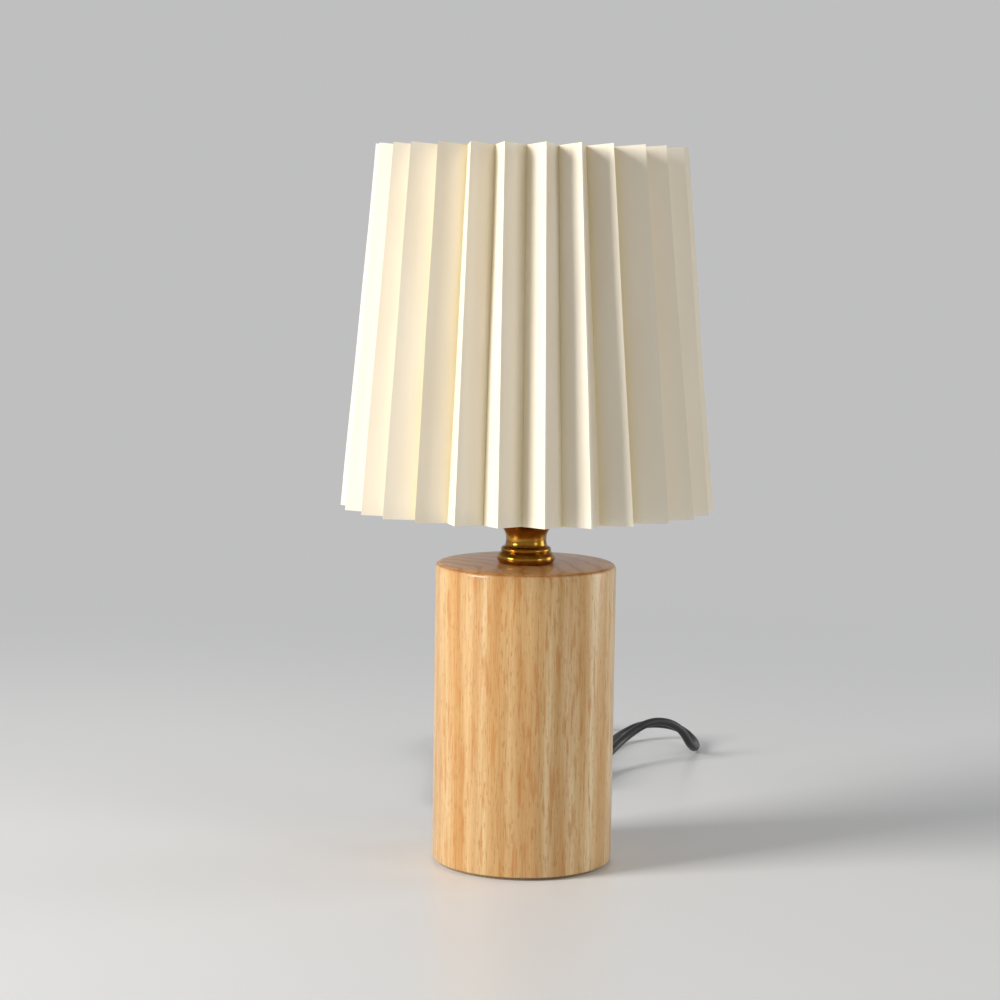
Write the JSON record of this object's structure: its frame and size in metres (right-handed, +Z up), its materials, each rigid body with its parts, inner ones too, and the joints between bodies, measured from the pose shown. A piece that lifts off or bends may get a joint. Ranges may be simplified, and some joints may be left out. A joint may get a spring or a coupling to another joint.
{
  "type": "table lamp",
  "caption": "Small table lamp with a round wooden base, a brass neck and screw lamp holder, a folded paper shade on a wire frame, and a mains lead with a rocker switch and plug.",
  "frame": {"origin": "middle of the base's underside, on the table", "axes": "+Z up along the lamp's axis, +Y to the back where the mains lead leaves the base, +X to the right as seen from the front"},
  "size_m": [0.2029, 0.4155, 0.356],
  "materials": {
    "wood": "satin",
    "felt": "matte",
    "zinc_steel": "satin",
    "black_plastic": "satin",
    "black_rubber": "matte",
    "black_lead": "satin",
    "brown_wire": "satin",
    "blue_wire": "satin",
    "aged_brass": "satin",
    "bright_brass": "polished",
    "porcelain": "gloss",
    "lamp_cap": "satin",
    "white_plastic": "matte",
    "diffuser": "satin",
    "paper": "matte",
    "white_wire": "satin",
    "strap": "matte",
    "nickel_pins": "polished"
  },
  "bodies": {
    "lamp": {"base_block": "wood", "base_felt": "felt", "lamp_tube": "zinc_steel", "bottom_washer": "zinc_steel", "bottom_nut": "zinc_steel", "top_nut": "zinc_steel", "tube_bush": "black_plastic", "cord_boot": "black_rubber", "cord_stop": "black_rubber", "cord_entry": "black_lead", "wire_live": "brown_wire", "wire_neutral": "blue_wire", "neck_spacer": "aged_brass", "holder_cup": "aged_brass", "holder_barrel": "aged_brass", "porcelain_insert": "porcelain", "screw_shell": "bright_brass", "centre_contact": "bright_brass", "terminal_screws": "bright_brass", "switch_base": "black_plastic", "switch_cover": "black_plastic", "switch_screws": "zinc_steel", "switch_sleeve_in": "black_rubber", "switch_stub_in": "black_lead", "switch_sleeve_out": "black_rubber", "switch_stub_out": "black_lead", "switch_contacts": "bright_brass", "cord_lead": "black_lead", "cord_link": "black_lead", "cord_tail": "black_lead", "cord_coil": "black_lead", "coil_strap": "strap", "plug_body": "black_plastic", "plug_prongs": "nickel_pins", "prong_sleeves": "black_plastic"},
    "shade": {"shade_pleats": "paper", "shade_bottom_ring": "white_wire", "shade_top_ring": "white_wire", "fitter_ring": "white_wire", "spider_arms": "white_wire"},
    "shade_ring": {"shade_collar": "aged_brass"},
    "bulb": {"bulb_tip": "lamp_cap", "bulb_glass_ring": "black_plastic", "bulb_cap": "lamp_cap", "bulb_body": "white_plastic", "bulb_led_board": "lamp_cap", "bulb_globe": "diffuser"},
    "rocker": {"switch_rocker": "black_plastic"}
  },
  "joints": [
    {"name": "shade_lift", "type": "slide", "parent": "lamp", "child": "shade", "axis": [0, 0, 1], "range_m": [0, 0.12]},
    {"name": "collar_turn", "type": "hinge", "parent": "shade", "child": "shade_ring", "pos_m": [0, 0, 0.1957], "axis": [0, 0, 1], "range_deg": [0, 720]},
    {"name": "bulb_lift", "type": "slide", "parent": "lamp", "child": "bulb", "axis": [0, 0, 1], "range_m": [0, 0.24]},
    {"name": "rocker_tilt", "type": "hinge", "parent": "lamp", "child": "rocker", "pos_m": [0.016, 0.165, 0.0139], "axis": [0.9455, -0.3256, 0], "range_deg": [0, 18]}
  ],
  "couplings": [
    {"joint": "bulb_lift", "follows": "shade_lift", "ratio": 2}
  ]
}
